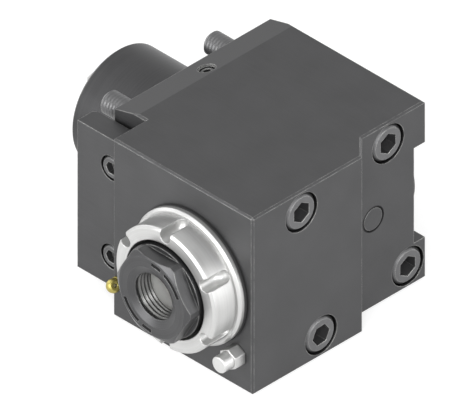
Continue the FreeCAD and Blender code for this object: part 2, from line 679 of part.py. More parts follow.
def keys():
    """Parallel keys of the two gears, on top of their shafts."""
    drive = document.addObject("Part::Box", "drive_gear_key")
    bind(drive, "Length", "drive_key_length")
    bind(drive, "Width", "key_width")
    place(drive, "drive_key_start", "-key_width / 2", "gear_bore - key_depth")
    spindle = document.addObject("Part::Box", "spindle_gear_key")
    bind(spindle, "Length", "key_width")
    bind(spindle, "Width", "spindle_key_length")
    place(spindle, "spindle_x - key_width / 2", "spindle_key_start", "gear_bore - key_depth")
    for item in (drive, spindle):
        bind(item, "Height", "key_height")
        keep(item.Name, item)


PLACES.update({
    "drive_key_start": "drive_step + drive_hub_length / 3",
    "spindle_key_start": "spindle_step + key_end",
    "spindle_key_length": "-gear_small - key_end - spindle_key_start",
})


# Gears

def tooth_section(scale, phase):
    """One tooth across the gear's axis, a straight-sided form that points away from the axis."""
    foot = "gear_radius - tooth_root - tooth_sink"
    tip = "gear_radius + tooth_tip"
    foot_half = "tooth_half + flank_slope * (tooth_root + tooth_sink)"
    tip_half = "tooth_half - flank_slope * tooth_tip"
    corners = [(f"-({foot_half})", foot), (foot_half, foot), (tip_half, tip), (f"-({tip_half})", tip)]
    return [(f"{scale} * (({across}) * cos({phase}) + ({out}) * sin({phase}))",
             f"{scale} * (({out}) * cos({phase}) - ({across}) * sin({phase}))") for across, out in corners]


def bevel_gear(name, hub_length, phase):
    """A bevel gear with its apex at the body's origin and its teeth towards minus X."""
    root = "(gear_radius - tooth_root)"
    scale = "(gear_small / gear_radius)"
    back = f"-(gear_radius + {hub_length})"
    body = new_body(name)
    sketch = new_sketch(body, name + "_blank")
    add_outline(sketch, [
        ("-gear_small", "gear_bore + fit_gap"), ("-gear_small", f"{root} * {scale}"),
        ("-gear_radius", root), ("-gear_radius", "gear_hub"), (back, "gear_hub"),
        (back, "gear_bore + fit_gap")])
    spin(body, "Revolution", sketch, "H_Axis")
    slot = new_sketch(body, name + "_key_slot", "YZ_Plane")
    top = "gear_bore - key_depth + key_height + key_top_gap"
    half = "key_width / 2 + fit_gap"
    add_outline(slot, [(f"-({half})", "0"), (half, "0"), (half, top), (f"-({half})", top)])
    extrude(body, "Pocket", slot)
    large = new_sketch(body, name + "_tooth_large", "YZ_Plane", "-gear_radius")
    add_outline(large, tooth_section("1", phase))
    small = new_sketch(body, name + "_tooth_small", "YZ_Plane", "-gear_small")
    add_outline(small, tooth_section(scale, phase))
    tooth = body.newObject("PartDesign::AdditiveLoft", name + "_tooth")
    tooth.Profile = large
    tooth.Sections = [(small, [""])]
    tooth.Ruled = True
    document.recompute()
    repeat(body, [tooth], "X_Axis", GEAR_TEETH)
    return keep(name, body)


# Spindle

def tool_spindle():
    rear = "spindle_rear"
    body = turned("tool_spindle", "spindle", [
        ("spindle_front", "taper_mouth"), ("spindle_front", "nose_radius - nose_chamfer"),
        ("spindle_front + nose_chamfer", "nose_radius"), ("collar_front", "nose_radius"),
        ("collar_front", "collar_radius"), ("front_start", "collar_radius"), ("front_start", "front_bore"),
        ("front_end", "front_bore"), ("front_end", "lock_thread"), ("spindle_step", "lock_thread"),
        ("spindle_step", "gear_bore"), ("rear_start", "gear_bore"), ("rear_start", "rear_bore"),
        ("rear_end", "rear_bore"), ("rear_end", "rear_thread"),
        (f"{rear} - thread_chamfer", "rear_thread"), (rear, "rear_thread - thread_chamfer"), (rear, "0"),
        ("bore_end", "0"),
        ("bore_end - bore_cone", "bore_radius"), ("relief_end", "bore_radius"),
        ("relief_end", "taper_end_radius + taper_relief"), ("taper_end", "taper_end_radius + taper_relief"),
        ("taper_end", "taper_end_radius")])
    clip_groove(body, "spindle", "clip_start - fit_gap", "clip_end + fit_gap")
    key = new_sketch(body, "spindle_key_seat", "XY_Plane", "gear_bore - key_depth")
    add_outline(key, key_outline("spindle_key_start", "spindle_key_length", swap=True))
    extrude(body, "Pocket", key, "key_depth + 1", flip=True)
    return keep("tool_spindle", body)


def slotted_nut(name, line, start, width, inner, outer):
    """A lock nut with four slots for a hook wrench."""
    body = ring(name, line, start, width, inner, outer)
    slot = new_sketch(body, name + "_slot", {"spindle": "XZ_Plane", "input": "YZ_Plane"}[line],
                      f"-({start})" if line == "spindle" else start)
    low, high = "-nut_slot_width / 2", "nut_slot_width / 2"
    floor, top = f"{outer} - nut_slot_depth", f"{outer} + 1"
    add_outline(slot, [(low, floor), (high, floor), (high, top), (low, top)])
    cut = extrude(body, "Pocket", slot, width, flip=line == "input")
    repeat(body, [cut], LINES[line]["body"], 4)
    return keep(name, body)


# Bearings

BEARINGS = {
    "front": {"line": "spindle", "starts": ["front_start", "front_second"]},
    "rear": {"line": "spindle", "starts": ["rear_start"]},
    "input": {"line": "input", "starts": ["input_first", "input_second"]},
}


def race_groove(body, name, line, middle, pitch, radius):
    sketch = new_sketch(body, name)
    spot = on_line(line, [(middle, pitch)])[0]
    add_circle(sketch, spot[0], spot[1], radius)
    spin(body, "Groove", sketch, LINES[line]["sketch"])


def bearing_rings(size):
    """Outer and inner rings of one bearing size, with their ball races."""
    line = BEARINGS[size]["line"]
    lands = {
        "outer": (f"{size}_pitch + race_wall", f"{size}_outside"),
        "inner": (f"{size}_bore + fit_gap", f"{size}_pitch - race_wall"),
    }
    for side, (low, high) in lands.items():
        members = []
        for number, start in enumerate(BEARINGS[size]["starts"], 1):
            name = f"{size}_{side}_{number}"
            body = ring(name, line, start, f"{size}_width", low, high)
            race_groove(body, name + "_race", line, f"{start} + {size}_width / 2", f"{size}_pitch",
                        f"{size}_ball + ball_gap")
            members.append(body)
        if len(members) == 1:
            keep(f"{size}_bearing_{side}_ring", members[0])
        else:
            group(f"{size}_bearing_{side}_rings", members)


def ball_place(line, middle, pitch, angle):
    out, up = f"({pitch}) * sin({angle})", f"({pitch}) * cos({angle})"
    return (f"spindle_x + {out}", middle, up) if line == "spindle" else (middle, out, up)


def bearing_balls(size):
    line = BEARINGS[size]["line"]
    members = []
    for number, start in enumerate(BEARINGS[size]["starts"], 1):
        for ball in range(BALLS[size]):
            item = document.addObject("Part::Sphere", f"{size}_ball_{number}_{ball + 1}")
            bind(item, "Radius", f"{size}_ball")
            angle = 360 * ball / BALLS[size]
            place(item, *ball_place(line, f"{start} + {size}_width / 2", f"{size}_pitch", angle))
            members.append(item)
    return group(f"{size}_bearing_balls", members)


def bearing_cages(size):
    """Cages with one round pocket for each ball."""
    line = BEARINGS[size]["line"]
    members = []
    for number, start in enumerate(BEARINGS[size]["starts"], 1):
        name = f"{size}_cage_{number}"
        body = ring(name, line, f"{start} + cage_side", f"{size}_width - 2 * cage_side",
                    f"{size}_pitch - cage_half", f"{size}_pitch + cage_half")
        pocket = new_sketch(body, name + "_pocket")
        spot = on_line(line, [(f"{start} + {size}_width / 2", "0")])[0]
        add_circle(pocket, spot[0], spot[1], f"{size}_ball + ball_gap")
        cut = extrude(body, "Pocket", pocket, flip=True)
        repeat(body, [cut], LINES[line]["body"], BALLS[size])
        members.append(body)
    if len(members) == 1:
        return keep(f"{size}_bearing_cage", members[0])
    return group(f"{size}_bearing_cages", members)


# Nose

def bearing_cap():
    """The bright slotted ring that screws into the block and holds the front bearings."""
    body = turned("bearing_cap", "spindle", [
        ("cap_front", "cap_bore"), ("cap_front", "cap_radius - cap_face_chamfer"),
        ("cap_front + cap_chamfer", "cap_radius"), ("-(block_front + cap_flange_front)", "cap_radius"),
        ("-(block_front + cap_flange_front)", "cap_flange_step"),
        ("-(block_front + cap_flange_edge)", "cap_flange"), ("cap_flange_rear", "cap_flange"),
        ("cap_flange_rear", "cap_thread - fit_gap"), ("front_start", "cap_thread - fit_gap"),
        ("front_start", "seal_radius"), ("seal_front", "seal_radius"),
        ("seal_front", "collar_radius + cap_web_gap"), ("cap_web", "collar_radius + cap_web_gap"),
        ("cap_web", "cap_bore")])
    runout = "block_front + cap_flange_front + cap_slot_cutter"
    slot = new_sketch(body, "cap_slot", "XZ_Plane", runout)
    half = "cap_slot_width / 2"
    middle = f"cap_slot_floor + {half}"
    add_outline(slot, [(f"-{half}", "cap_radius + 2"), (f"-{half}", middle), (half, middle),
                       (half, "cap_radius + 2")], {1: ("0", middle, 1)})
    cut = extrude(body, "Pocket", slot, "cap_reach", flip=True)
    # The slot ends where its round-edged cutter came out
    cutter = new_sketch(body, "cap_slot_runout", "XZ_Plane", runout)
    bind(cutter, "AttachmentOffset.Base.y", "cap_slot_floor + cap_slot_cutter")
    edge = f"{half} - cap_slot_cutter"
    add_outline(cutter, [(f"-{half}", "0"), (f"-{half}", edge), (half, edge), (half, "0")],
                {1: ("0", edge, 1)})
    end = spin(body, "Groove", cutter, "H_Axis")
    repeat(body, [cut, end], "Y_Axis", CAP_SLOTS)
    return keep("bearing_cap", body)


def collet_nut():
    seat_front, seat_rear = "thrust_front - run_gap", "thrust_rear + run_gap"
    thread = "nose_radius + run_gap"
    seat = "thrust_outside + run_gap"
    body = turned("collet_nut", "spindle", [
        ("nut_front", "nut_mouth"), ("nut_front", "nut_face"), ("nut_front + nut_slant", "nut_radius"),
        ("nut_rear - thread_chamfer", "nut_radius"), ("nut_rear", "nut_radius - thread_chamfer"),
        ("nut_rear", f"{thread} + thread_chamfer"), ("nut_rear - thread_chamfer", thread),
        (seat_rear, thread), (seat_rear, seat), (seat_front, seat), (seat_front, "nut_lip"),
        ("nut_front + nut_lip_depth", "nut_lip")])
    flats = new_sketch(body, "nut_flats", "XZ_Plane", "block_front + nut_hex_end")
    add_circle(flats, "0", "0", "nut_radius + 3")
    add_outline(flats, hexagon("2 * nut_flat"))
    extrude(body, "Pocket", flats, "nut_reach", flip=True)
    marks = new_sketch(body, "nut_marks", "XZ_Plane", "-nut_front")
    for start, end in NUT_MARKS:
        corners = [("mark_inner", start), ("mark_outer", start), ("mark_outer", end), ("mark_inner", end)]
        add_outline(marks, [(f"{radius} * cos({turn})", f"{radius} * sin({turn})") for radius, turn in corners],
                    {1: ("0", "0", 1), 3: ("0", "0", -1)})
    bars = extrude(body, "Pocket", marks, "mark_depth")
    repeat(body, [bars], "Y_Axis", 2)
    return keep("collet_nut", body)


def nut_thrust_ring():
    """The ring inside the nut, with V-shaped grooves along its bore."""
    pitch = f"thrust_width / {THRUST_GROOVES}"
    points = [("thrust_front", "thrust_bore"), ("thrust_front", "thrust_outside"),
              ("thrust_rear", "thrust_outside"), ("thrust_rear", "thrust_bore")]
    for step in range(1, 2 * THRUST_GROOVES):
        radius = "thrust_bore + thrust_groove" if step % 2 else "thrust_bore"
        points.append((f"thrust_rear - {step} / 2 * {pitch}", radius))
    return keep("nut_thrust_ring", turned("nut_thrust_ring", "spindle", points))


def stop_pin():
    """A hexagonal pin with a round nose, screwed into the nose side of the block."""
    body = new_body("stop_pin")
    sketch = new_sketch(body, "pin_outline")
    add_outline(sketch, [
        ("-pin_stem_length", "0"), ("-pin_stem_length", "pin_stem - thread_chamfer"),
        ("thread_chamfer - pin_stem_length", "pin_stem"), ("0", "pin_stem"), ("0", "pin_nose"),
        ("pin_reach - pin_round", "pin_nose"), ("pin_reach", "pin_nose - pin_round"), ("pin_reach", "0")],
        {5: ("pin_reach - pin_round", "pin_nose - pin_round", -1)})
    spin(body, "Revolution", sketch, "H_Axis")
    head = new_sketch(body, "pin_hexagon", "YZ_Plane")
    add_outline(head, hexagon("pin_flat", 30))
    extrude(body, "Pad", head, "pin_hex_height")
    turned_groove(body, "pin_hex_chamfer", "input", [
        ("pin_hex_height - pin_chamfer", "pin_flat"), ("pin_hex_height", "pin_flat / 2"),
        ("pin_hex_height + 0.1", "pin_flat / 2"), ("pin_hex_height + 0.1", "pin_flat")])
    body.Placement = Placement(Vector(), TO_NOSE)
    place(body, "pin_x", "-block_front", "-pin_drop")
    return keep("stop_pin", body)


def nozzle_seat():
    cup = "(nozzle_ball + run_gap)"
    rim = "seat_collar_height - nozzle_proud"
    rim_radius = f"sqrt({cup} ^ 2 - ({rim}) ^ 2)"
    throat = f"-sqrt({cup} ^ 2 - seat_bore ^ 2)"
    body = new_body("nozzle_seat")
    sketch = new_sketch(body, "seat_outline")
    end = "-nozzle_proud - seat_depth"
    add_outline(sketch, [
        (end, "seat_bore"), (end, "seat_radius"), ("-nozzle_proud", "seat_radius"),
        ("-nozzle_proud", "seat_collar"), (rim, "seat_collar"), (rim, rim_radius),
        (throat, "seat_bore")], {5: ("0", "0", 1)})
    spin(body, "Revolution", sketch, "H_Axis")
    body.Placement = Placement(Vector(), TO_NOSE)
    place(body, "nozzle_x", "ball_y", "-nozzle_drop")
    return keep("nozzle_seat", body)


def coolant_ball():
    """The brass ball, drilled through, with its flat turned towards the tool."""
    flat_radius = "sqrt(nozzle_ball ^ 2 - nozzle_flat ^ 2)"
    back = "-sqrt(nozzle_ball ^ 2 - nozzle_hole ^ 2)"
    body = new_body("coolant_ball")
    sketch = new_sketch(body, "ball_outline")
    add_outline(sketch, [(back, "nozzle_hole"), ("nozzle_flat", flat_radius), ("nozzle_flat", "nozzle_hole")],
                {0: ("0", "0", -1)})
    spin(body, "Revolution", sketch, "H_Axis")
    aim = Vector(0.80, -0.25, 0.55)
    body.Placement = Placement(Vector(), Rotation(Vector(1, 0, 0), aim))
    place(body, "nozzle_x", "ball_y", "-nozzle_drop")
    return keep("coolant_ball", body)


def plugs_and_port_ring():
    plug = turned("filler_plug", "input", [
        ("back_reach - plug_length", "0"), ("back_reach - plug_length", "plug_radius"),
        ("back_reach - plug_chamfer", "plug_radius"), ("back_reach", "plug_radius - plug_chamfer"),
        ("back_reach", "0")])
    place(plug, "0", "plug_y", "0")
    keep("filler_plug", plug)
    channel = document.addObject("Part::Cylinder", "channel_plug")
    bind(channel, "Radius", "channel_plug_radius")
    bind(channel, "Height", "channel_plug_length")
    place(channel, "nozzle_x", "-port_y", "channel_plug_recess - half_height")
    keep("channel_plug", channel)
    seal = document.addObject("Part::Torus", "coolant_port_ring")
    bind(seal, "Radius1", "port_ring_radius")
    bind(seal, "Radius2", "port_ring_wire")
    seal.Placement = Placement(Vector(), Rotation(Vector(0, 1, 0), 90))
    place(seal, "port_ring_wire + port_groove_wall / 2", "-port_y", "-port_drop")
    keep("coolant_port_ring", seal)


# Rear cover

def rear_cover():
    under = "floor_y + cover_gasket"
    recess = "floor_y + cover_recess_depth"
    body = turned("rear_cover", "spindle", [
        ("cover_face", "0"), ("cover_face", "cover_radius - cover_chamfer"),
        ("cover_face - cover_chamfer", "cover_radius"), (under, "cover_radius"),
        (under, "cover_thread - fit_gap"), ("rear_end", "cover_thread - fit_gap"),
        ("rear_end", "cover_recess"), (recess, "cover_recess"), (recess, "0")])
    holes = new_sketch(body, "cover_pin_holes", "XZ_Plane", "-cover_face")
    add_circle(holes, "cover_pin_circle", "0", "cover_pin_hole")
    add_circle(holes, "-cover_pin_circle", "0", "cover_pin_hole")
    extrude(body, "Pocket", holes, "cover_pin_depth", flip=True)
    return keep("rear_cover", body)


# Build every piece
housing()
stop_plate()
stop_plate_shim()
stop_plate_screws()
mounting_screws("mounting_screws_front", "block_reach", FRONT_SPOTS)
mounting_screws("mounting_screws_rear", "back_reach", REAR_SPOTS)
shank_sleeve()
sleeve_lock_screw()
plugs_and_port_ring()
nozzle_seat()
coolant_ball()
stop_pin()

drive_shaft()
bevel_gear("drive_gear", "drive_hub_length", "0")
place(nodes["drive_gear"], "spindle_x")
slotted_nut("drive_lock_nut", "input", "input_end", "drive_nut_width", "input_bore + fit_gap",
            "drive_nut_radius")
circlip("drive_gear_circlip", "input", "spindle_x + clip_start")

tool_spindle()
spindle_gear = bevel_gear("spindle_gear", "spindle_hub_length", str(180 / GEAR_TEETH))
spindle_gear.Placement = Placement(Vector(), Rotation(Vector(0, 0, 1), 90))
place(spindle_gear, "spindle_x")
slotted_nut("spindle_lock_nut", "spindle", "front_end", "lock_nut_width", "lock_thread + fit_gap",
            "lock_nut_radius")
slotted_nut("rear_lock_nut", "spindle", "rear_end", "rear_nut_width", "rear_thread + fit_gap",
            "rear_nut_radius")
circlip("spindle_gear_circlip", "spindle", "clip_start")
keys()

for bearing in BEARINGS:
    bearing_rings(bearing)
    bearing_balls(bearing)
    bearing_cages(bearing)

spacer_start = "front_start + front_width"
keep("front_outer_spacer", ring("front_outer_spacer", "spindle", spacer_start, "front_spacing",
                                "front_pitch + race_wall", "front_outside"))
keep("front_inner_spacer", ring("front_inner_spacer", "spindle", spacer_start, "front_spacing",
                                "front_bore + fit_gap", "front_pitch - race_wall"))
spacer_start = "input_first + input_width"
keep("input_outer_spacer", ring("input_outer_spacer", "input", spacer_start, "input_spacing",
                                "input_pitch + race_wall", "input_outside"))
keep("input_inner_spacer", ring("input_inner_spacer", "input", spacer_start, "input_spacing",
                                "input_bore + fit_gap", "input_pitch - race_wall"))

bearing_cap()
keep("cap_gasket", ring("cap_gasket", "spindle", "cap_flange_rear", "gasket_thickness",
                        "cap_thread + fit_gap", "gasket_radius"))
keep("spindle_seal", ring("spindle_seal", "spindle", "seal_front", "seal_width",
                          "collar_radius + run_gap", "seal_radius - fit_gap"))
keep("drive_seal", ring("drive_seal", "input", "seal_end - drive_seal_width", "drive_seal_width",
                        "input_bore + run_gap", "input_outside"))
keep("input_circlip", ring("input_circlip", "input", "input_first - input_clip_width", "input_clip_width",
                           "input_pitch + race_wall", "input_outside + input_clip_depth - fit_gap"))
collet_nut()
nut_thrust_ring()
rear_cover()
keep("rear_cover_seal", ring("rear_cover_seal", "spindle", "floor_y", "cover_gasket",
                             "cover_thread + fit_gap", "cover_radius - fit_gap"))

document.recompute()

# Check every object and write one file for each node
for item in document.Objects:
    broken = [state for state in item.State if state in ("Invalid", "Error")]
    if broken:
        raise RuntimeError(f"{item.Name}: {broken}")
os.makedirs("parts", exist_ok=True)
for name, item in nodes.items():
    shape = item.Shape
    if shape.isNull() or not shape.isValid() or not shape.Solids:
        raise RuntimeError(name + " has no valid solid")
    shape.exportStep(f"parts/{name}.step")
    print(name, len(shape.Solids), round(shape.Volume, 1))
print(len(nodes), "nodes")
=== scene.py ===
# %% [markdown]
# # A right-angle live tool holder
# A live tool holder sits on the turret of a lathe and turns a small milling cutter. Its round shank goes
# into the turret, four long screws hold the block, and the flat tang is turned by the turret. All shapes
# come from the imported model. This file gives them their finishes, the light and the camera.

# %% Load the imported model
import math

import bpy
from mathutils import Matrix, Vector


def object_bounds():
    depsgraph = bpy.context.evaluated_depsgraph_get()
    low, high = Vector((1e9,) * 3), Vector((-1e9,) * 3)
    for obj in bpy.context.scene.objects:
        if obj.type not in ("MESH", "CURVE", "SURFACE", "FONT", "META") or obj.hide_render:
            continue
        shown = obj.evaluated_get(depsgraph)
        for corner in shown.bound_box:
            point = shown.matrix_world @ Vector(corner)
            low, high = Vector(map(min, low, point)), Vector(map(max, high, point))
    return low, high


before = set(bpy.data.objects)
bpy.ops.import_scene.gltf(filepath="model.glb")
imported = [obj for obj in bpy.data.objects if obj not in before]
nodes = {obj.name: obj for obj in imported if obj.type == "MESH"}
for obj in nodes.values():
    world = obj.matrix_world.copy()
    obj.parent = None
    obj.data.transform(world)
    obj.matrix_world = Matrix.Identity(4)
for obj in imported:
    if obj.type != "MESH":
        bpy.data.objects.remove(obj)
cad_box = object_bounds()

# %% [markdown]
# ## Units and colours
# The model is in metres, and the sizes in this file are in millimetres, so one number turns them. Colours
# are written as they look on a screen. Blender works with linear light, so one function turns them.

# %% Millimetres and linear colours
MM = 0.001


def linear(code):
    """An sRGB hex code as linear red, green, blue and alpha."""
    def channel(value):
        value /= 255
        return value / 12.92 if value <= 0.04045 else ((value + 0.055) / 1.055) ** 2.4
    return [*(channel(int(code[start:start + 2], 16)) for start in (1, 3, 5)), 1.0]


print("mid grey #808080 is", round(linear("#808080")[0], 3), "in linear light")

# %% [markdown]
# ## Adding a node
# A material is a small graph. One function adds a node, sets what the node itself holds, and fills its
# sockets with either a plain value or the output of another node.

# %% One function for nodes
def add(tree, kind, sockets=(), **settings):
    """A shader node with its settings, and its sockets as values or as links."""
    node = tree.nodes.new("ShaderNode" + kind)
    for name, value in settings.items():
        setattr(node, name, value)
    for name, value in dict(sockets).items():
        if isinstance(value, bpy.types.NodeSocket):
            tree.links.new(value, node.inputs[name])
        else:
            node.inputs[name].default_value = value
    return node


# %% [markdown]
# ## Tool marks
# Every metal surface here was cut or ground, and the marks run where the tool ran. A lathe leaves rings
# round the axis. A grinding wheel leaves straight lines along the block. Each pattern is a noise that is
# stretched along the tool's path. Real marks are a few hundredths of a millimetre apart, too fine to show
# at this size, so they are drawn about ten times as coarse.

# %% Straight grinding marks and turned rings
GRIND_STEP = 0.45 * MM
GRIND_STRETCH = 0.03
TURN_STEP = 0.35 * MM
GRAIN_STEP = 0.6 * MM

# One point on the axis of each turned piece
SPINDLE = (59.9 * MM, 0.0, 0.0)
SHANK = (0.0, 0.0, 0.0)
PIN = (83.7 * MM, 0.0, -25.4 * MM)
NOZZLE = (19.5 * MM, -61.6 * MM, -24.6 * MM)


def ground_lines(tree):
    """Lines along X, as the wheel leaves them on the block's long faces."""
    place = add(tree, "TexCoord").outputs["Object"]
    stretched = add(tree, "Mapping", {"Vector": place, "Scale": (GRIND_STRETCH / GRIND_STEP,
                                                                 1 / GRIND_STEP, 1 / GRIND_STEP)})
    return add(tree, "TexNoise", {"Vector": stretched.outputs[0], "Scale": 1.0, "Detail": 3.0,
                                  "Roughness": 0.6}).outputs[0]


def turned_rings(centre, along):
    """Rings round the axis through centre that runs along X or Y."""
    def pattern(tree):
        place = add(tree, "TexCoord").outputs["Object"]
        offset = add(tree, "VectorMath", {0: place, 1: centre}, operation="SUBTRACT")
        parts = add(tree, "SeparateXYZ", {0: offset.outputs[0]}).outputs
        length, across = (parts["X"], parts["Y"]) if along == "X" else (parts["Y"], parts["X"])
        flat = add(tree, "CombineXYZ", {"X": across, "Y": parts["Z"]})
        radius = add(tree, "VectorMath", {0: flat.outputs[0]}, operation="LENGTH").outputs["Value"]
        spread = add(tree, "CombineXYZ", {"X": radius, "Y": length})
        return add(tree, "TexNoise", {"Vector": spread.outputs[0], "Scale": 1 / TURN_STEP, "Detail": 2.0,
                                      "Roughness": 0.5}, noise_dimensions="2D").outputs[0]
    return pattern


def fine_grain(tree):
    """An even grain with no direction, as tumbling, lapping or a coating leaves it."""
    place = add(tree, "TexCoord").outputs["Object"]
    return add(tree, "TexNoise", {"Vector": place, "Scale": 1 / GRAIN_STEP, "Detail": 4.0}).outputs[0]


print("grinding lines drawn", round(GRIND_STEP / MM, 2), "mm apart, rings", round(TURN_STEP / MM, 2), "mm")

# %% [markdown]
# ## How a finish is put together
# A finish has a base colour, a slow cloud over it, the tool marks in colour, gloss and relief, and worn
# edges. Handling rubs a coating off the edges first, so they turn lighter, and the lighter edge colour is
# also a painted highlight along each edge. The Bevel node finds the edges: it rounds the surface's direction
# there, so the rounded direction and the real one differ. The same rounded direction also gives each edge
# the thin highlight of a broken edge. Corners and the seams between pieces get painted shade: the Ambient
# Occlusion node tells how closed in a point is, and the colour is darkened there.

# %% The finish of a machined piece
CLOUD_STEP = 14 * MM
WEAR_STEP = 3 * MM
EDGE_RADIUS = 0.6 * MM
# The reach and the darkest level of the painted shade in corners and seams.
PAINTED_SHADE_REACH = 1.6 * MM
PAINTED_SHADE_LEVEL = 0.25
GLOSS_SPREAD = 0.06
# The black of the painted shade in the plug's seam and in the nut's engraved bars.
SHADE_BLACK = "#161617"


def machined(name, colour, gloss, pattern, relief, metallic=1.0, spread=0.14, worn_and_highlight_colour=None, thread=None,
             paint=None):
    """A metal finish: gloss is its mean roughness, relief the depth of its marks, and the lighter edge
    colour is wear and a painted highlight.

    thread gives the ridges whose relief takes the place of the marks. paint gives a mask of painted shade,
    drawn in black.
    """
    material = bpy.data.materials.new(name)
    material.use_nodes = True
    tree = material.node_tree
    tree.nodes.clear()
    marks = pattern(tree)
    place = add(tree, "TexCoord").outputs["Object"]
    cloud = add(tree, "TexNoise", {"Vector": place, "Scale": 1 / CLOUD_STEP, "Detail": 3.0}).outputs[0]
    tone = add(tree, "Mix", {"Factor": 0.5, "A": marks, "B": cloud}, data_type="FLOAT").outputs["Result"]
    base = linear(colour)
    dark = [part * (1 - spread) for part in base[:3]] + [1.0]
    pale = [part * (1 + spread) for part in base[:3]] + [1.0]
    band = add(tree, "MapRange", {"Value": tone, "From Min": 0.3, "From Max": 0.7}).outputs["Result"]
    body = add(tree, "MixRGB", {"Fac": band, "Color1": dark, "Color2": pale}).outputs["Color"]
    rounded = add(tree, "Bevel", {"Radius": EDGE_RADIUS}, samples=6).outputs["Normal"]
    rough = add(tree, "MapRange", {"Value": tone, "From Min": 0.3, "From Max": 0.7,
                                   "To Min": gloss - GLOSS_SPREAD,
                                   "To Max": gloss + GLOSS_SPREAD}).outputs["Result"]
    # Lighter edges: partly wear, partly a painted highlight along each edge.
    if worn_and_highlight_colour:
        true = add(tree, "NewGeometry").outputs["Normal"]
        match = add(tree, "VectorMath", {0: rounded, 1: true}, operation="DOT_PRODUCT").outputs["Value"]
        rubbed = add(tree, "TexNoise", {"Vector": place, "Scale": 1 / WEAR_STEP, "Detail": 5.0}).outputs[0]
        edge = add(tree, "MapRange", {"Value": match, "From Min": 0.99, "From Max": 0.88}).outputs["Result"]
        patch = add(tree, "MapRange", {"Value": rubbed, "From Min": 0.35, "From Max": 0.6,
                                       "To Min": 0.25}).outputs["Result"]
        edge_wear_and_highlight = add(tree, "Math", {0: edge, 1: patch}, operation="MULTIPLY").outputs["Value"]
        body = add(tree, "MixRGB", {"Fac": edge_wear_and_highlight, "Color1": body, "Color2": linear(worn_and_highlight_colour)}).outputs["Color"]
    # Painted shade: the colour is darkened where the Ambient Occlusion node finds a corner or a seam.
    closed = add(tree, "AmbientOcclusion", {"Distance": PAINTED_SHADE_REACH}, samples=8).outputs["AO"]
    corner_shade = add(tree, "MapRange", {"Value": closed, "From Min": 0.25, "From Max": 0.8,
                                   "To Min": PAINTED_SHADE_LEVEL}).outputs["Result"]
    body = add(tree, "MixRGB", {"Fac": 1.0, "Color1": body, "Color2": corner_shade},
               blend_type="MULTIPLY").outputs["Color"]
    # Painted shade in black, where the paint mask says: the plug's seam and the nut's engraved bars.
    if paint:
        body = add(tree, "MixRGB", {"Fac": paint(tree), "Color1": body,
                                    "Color2": linear(SHADE_BLACK)}).outputs["Color"]
    height = thread(tree) if thread else marks
    bump = add(tree, "Bump", {"Height": height, "Distance": relief, "Strength": 1.0, "Normal": rounded})
    shader = add(tree, "BsdfPrincipled", {"Base Color": body, "Metallic": metallic, "Roughness": rough,
                                          "Normal": bump.outputs["Normal"]})
    add(tree, "OutputMaterial", {"Surface": shader.outputs["BSDF"]})
    material.diffuse_color = base
    return material


# %% Give a finish to some pieces
dressed = set()


def dress(material, *names):
    """Puts one material on these nodes, in place of the plain one that the frame came with."""
    dressed.update(names)
    for name in names:
        for slot in nodes[name].material_slots:
            slot.material = material
    print(material.name, "on", len(names), "pieces")


# %% [markdown]
# ## The block
# The block, the stop plate and the shank are alloy steel, ground on their outer faces and then blackened
# in a hot salt bath. Black oxide is a skin about a micrometre thick. It keeps the metal's marks, drinks a
# little oil, and looks dark grey with a soft sheen. The skin isn't a bare metal any more, so the metallic
# value stays a little under 1.
#
# A flush plug closes a hole on the set-back face. The seam round it gets painted shade: the block's finish
# gets a thin black ring there, and the plug a black edge.

# %% Painted shade in the seam round the flush plug
PLUG_SPOT = (82.8 * MM, 14.3 * MM, 0.0)
PLUG_RADIUS = 5.2 * MM
SHADE_RING_WIDTH = 0.55 * MM


def between(tree, value, low, high):
    """1 where a value lies between two bounds, else 0."""
    above = add(tree, "Math", {0: value, 1: low}, operation="GREATER_THAN").outputs["Value"]
    below = add(tree, "Math", {0: value, 1: high}, operation="LESS_THAN").outputs["Value"]
    return add(tree, "Math", {0: above, 1: below}, operation="MULTIPLY").outputs["Value"]


def plug_seam_shade(tree):
    """A ring of painted shade on the set-back face, on the edge of the plug and on the block round it."""
    place = add(tree, "TexCoord").outputs["Object"]
    reach = add(tree, "VectorMath", {0: place, 1: PLUG_SPOT}, operation="DISTANCE").outputs["Value"]
    return between(tree, reach, PLUG_RADIUS - SHADE_RING_WIDTH / 2, PLUG_RADIUS + SHADE_RING_WIDTH)


# %% Blackened ground steel
# The thin black ring round the flush plug is painted shade.
black_ground = machined("black_oxide_ground_steel", "#4c4c4d", 0.46, ground_lines, 0.006 * MM,
                        metallic=0.75, worn_and_highlight_colour="#9a9a98", paint=plug_seam_shade)
dress(black_ground, "housing", "stop_plate", "filler_plug")

# %% [markdown]
# The shank and the rear cover were turned before they were blackened, so their marks are rings. They need
# their own material, because the rings run round another axis.

# %% Blackened turned steel
black_shank = machined("black_oxide_turned_shank", "#464647", 0.4, turned_rings(SHANK, "X"), 0.006 * MM,
                       metallic=0.75, worn_and_highlight_colour="#9a9a98")
dress(black_shank, "shank_sleeve")
black_cover = machined("black_oxide_turned_cover", "#4c4c4d", 0.42, turned_rings(SPINDLE, "Y"), 0.006 * MM,
                       metallic=0.75, worn_and_highlight_colour="#9a9a98")
dress(black_cover, "rear_cover")

# %% [markdown]
# ## The clamping nut
# The nut is hardened and blackened more deeply than the block. A wrench works on it every day, so its
# corners are rubbed, and the oxide has a little more shine. Its face has engraved bars, and their floors
# and walls get black painted shade. The bars are cut into the solid, so the painted shade is simply put on
# all that lies deeper than the face.

# %% Hardened blackened steel
NUT_FACE = -81.7 * MM
BAR_DEPTH = 0.25 * MM
BAR_INNER, BAR_OUTER = 14.5 * MM, 16.5 * MM


